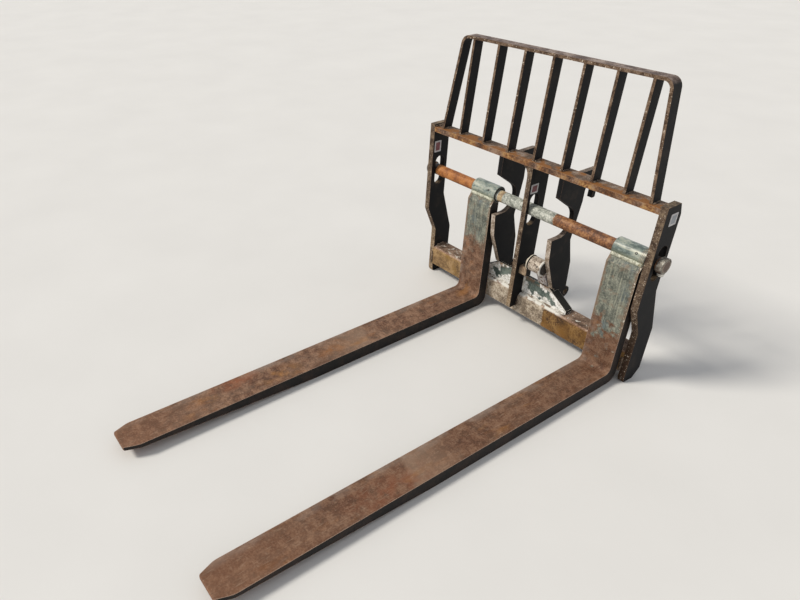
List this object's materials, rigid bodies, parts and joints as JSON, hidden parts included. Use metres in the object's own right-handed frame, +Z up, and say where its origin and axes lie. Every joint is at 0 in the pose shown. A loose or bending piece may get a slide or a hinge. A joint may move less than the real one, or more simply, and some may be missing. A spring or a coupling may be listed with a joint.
{
  "type": "pallet fork carriage",
  "caption": "Welded steel pallet fork carriage with floating forks hung on a cross shaft and a barred load backrest",
  "frame": {"origin": "on the ground, half-way across the carriage, under the front face of the fork shanks", "axes": "+Z up, +Y backwards from the fork tips towards the coupler hooks, +X across the carriage"},
  "size_m": [1.126, 1.8095, 1.068],
  "materials": {
    "frame_paint": "worn satin",
    "rack_paint": "worn satin",
    "fork_paint": "worn, rusting at the heel",
    "shaft_steel": "rusty",
    "bolt_steel": "weathered"
  },
  "bodies": {
    "carriage": {"side_plate_left": "frame_paint", "side_plate_right": "frame_paint", "centre_plate": "frame_paint", "top_bar": "frame_paint", "lower_beam": "frame_paint", "hook_plate_left": "frame_paint", "hook_plate_right": "frame_paint", "corner_gusset": "frame_paint", "stop_block": "frame_paint", "pin_bush": "frame_paint", "bush_pin": "frame_paint", "bush_web": "frame_paint", "apron_left": "frame_paint", "apron_right": "frame_paint", "rack_frame": "rack_paint", "rack_bar_1": "rack_paint", "rack_bar_2": "rack_paint", "rack_bar_3": "rack_paint", "rack_bar_4": "rack_paint", "rack_bar_5": "rack_paint", "rack_bar_6": "rack_paint", "rack_bar_7": "rack_paint"},
    "shaft": {"fork_shaft": "shaft_steel", "shaft_collar_left": "shaft_steel", "shaft_collar_right": "shaft_steel", "collar_bolt_left": "bolt_steel", "collar_bolt_right": "bolt_steel"},
    "left_fork": {"fork_left": "fork_paint", "fork_eye_left": "fork_paint"},
    "right_fork": {"fork_right": "fork_paint", "fork_eye_right": "fork_paint"}
  },
  "joints": [
    {"name": "shaft_float", "type": "slide", "parent": "carriage", "child": "shaft", "axis": [0, 0, 1], "range_m": [-0.04, 0.04]},
    {"name": "left_fork_swing", "type": "hinge", "parent": "shaft", "child": "left_fork", "pos_m": [-0.221, 0.045, 0.508], "axis": [-1, 0, 0], "range_deg": [0, 135]},
    {"name": "right_fork_swing", "type": "hinge", "parent": "shaft", "child": "right_fork", "pos_m": [0.441, 0.045, 0.508], "axis": [-1, 0, 0], "range_deg": [0, 135]}
  ]
}
